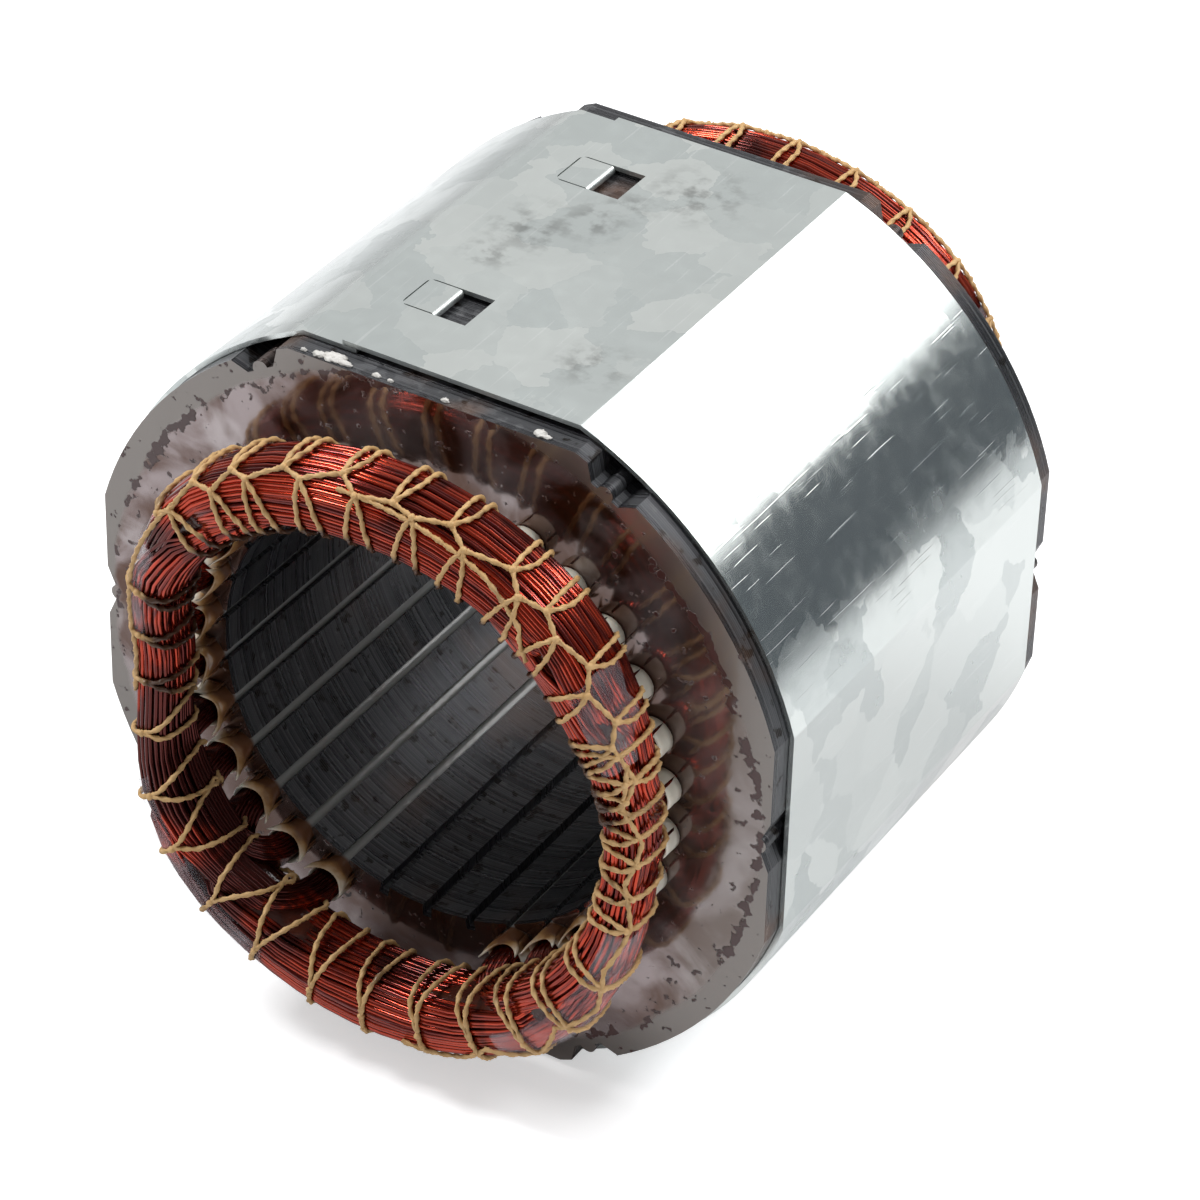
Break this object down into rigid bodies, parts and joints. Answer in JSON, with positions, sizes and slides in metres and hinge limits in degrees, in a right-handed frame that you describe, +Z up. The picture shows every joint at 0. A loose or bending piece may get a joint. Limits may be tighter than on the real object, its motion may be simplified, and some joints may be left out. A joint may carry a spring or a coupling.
{
  "type": "wound generator stator",
  "caption": "Slotted lamination stack with a round rotor bore, laced windings standing out of both ends and a hooked sheet band round the outside.",
  "frame": {"origin": "on the axis of the rotor bore, halfway along the lamination stack", "axes": "+Y runs along the bore from the front end to the rear end, +Z is up towards the lapped flat of the band, +X is to the right seen from the front"},
  "size_m": [0.1472, 0.1534, 0.142],
  "materials": {
    "laminations": "stack of bare steel sheet edges, dull in the bore, with glossy mauve-grey varnish on the end faces",
    "galvanised_sheet": "galvanised sheet with spangle, fine scratches and smudges",
    "liner_film": "cream insulating paper, stained amber by varnish",
    "closure_film": "insulating film darkened by varnish",
    "enamelled_wire": "dark red-brown enamel under glossy varnish",
    "separator_film": "translucent grey film",
    "lacing_cord": "twisted waxed cord, tan, darker where varnish soaked in"
  },
  "bodies": {
    "root": {"auxiliary_coil_left_1": "enamelled_wire", "auxiliary_coil_left_2": "enamelled_wire", "auxiliary_coil_right_1": "enamelled_wire", "auxiliary_coil_right_2": "enamelled_wire", "lacing_front": "lacing_cord", "lacing_rear": "lacing_cord", "lamination_stack": "laminations", "main_coil_bottom_1": "enamelled_wire", "main_coil_bottom_2": "enamelled_wire", "main_coil_bottom_3": "enamelled_wire", "main_coil_bottom_4": "enamelled_wire", "main_coil_top_1": "enamelled_wire", "main_coil_top_2": "enamelled_wire", "main_coil_top_3": "enamelled_wire", "main_coil_top_4": "enamelled_wire", "separator_front_lower_left": "separator_film", "separator_front_lower_right": "separator_film", "separator_front_upper_left": "separator_film", "separator_front_upper_right": "separator_film", "separator_rear_lower_left": "separator_film", "separator_rear_lower_right": "separator_film", "separator_rear_upper_left": "separator_film", "separator_rear_upper_right": "separator_film", "slot_closures": "closure_film", "slot_liner_01": "liner_film", "slot_liner_02": "liner_film", "slot_liner_03": "liner_film", "slot_liner_04": "liner_film", "slot_liner_05": "liner_film", "slot_liner_06": "liner_film", "slot_liner_07": "liner_film", "slot_liner_08": "liner_film", "slot_liner_09": "liner_film", "slot_liner_10": "liner_film", "slot_liner_11": "liner_film", "slot_liner_12": "liner_film", "slot_liner_13": "liner_film", "slot_liner_14": "liner_film", "slot_liner_15": "liner_film", "slot_liner_16": "liner_film", "slot_liner_17": "liner_film", "slot_liner_18": "liner_film", "slot_liner_19": "liner_film", "slot_liner_20": "liner_film", "slot_liner_21": "liner_film", "slot_liner_22": "liner_film", "slot_liner_23": "liner_film", "slot_liner_24": "liner_film", "wrap_band": "galvanised_sheet"}
  },
  "joints": []
}
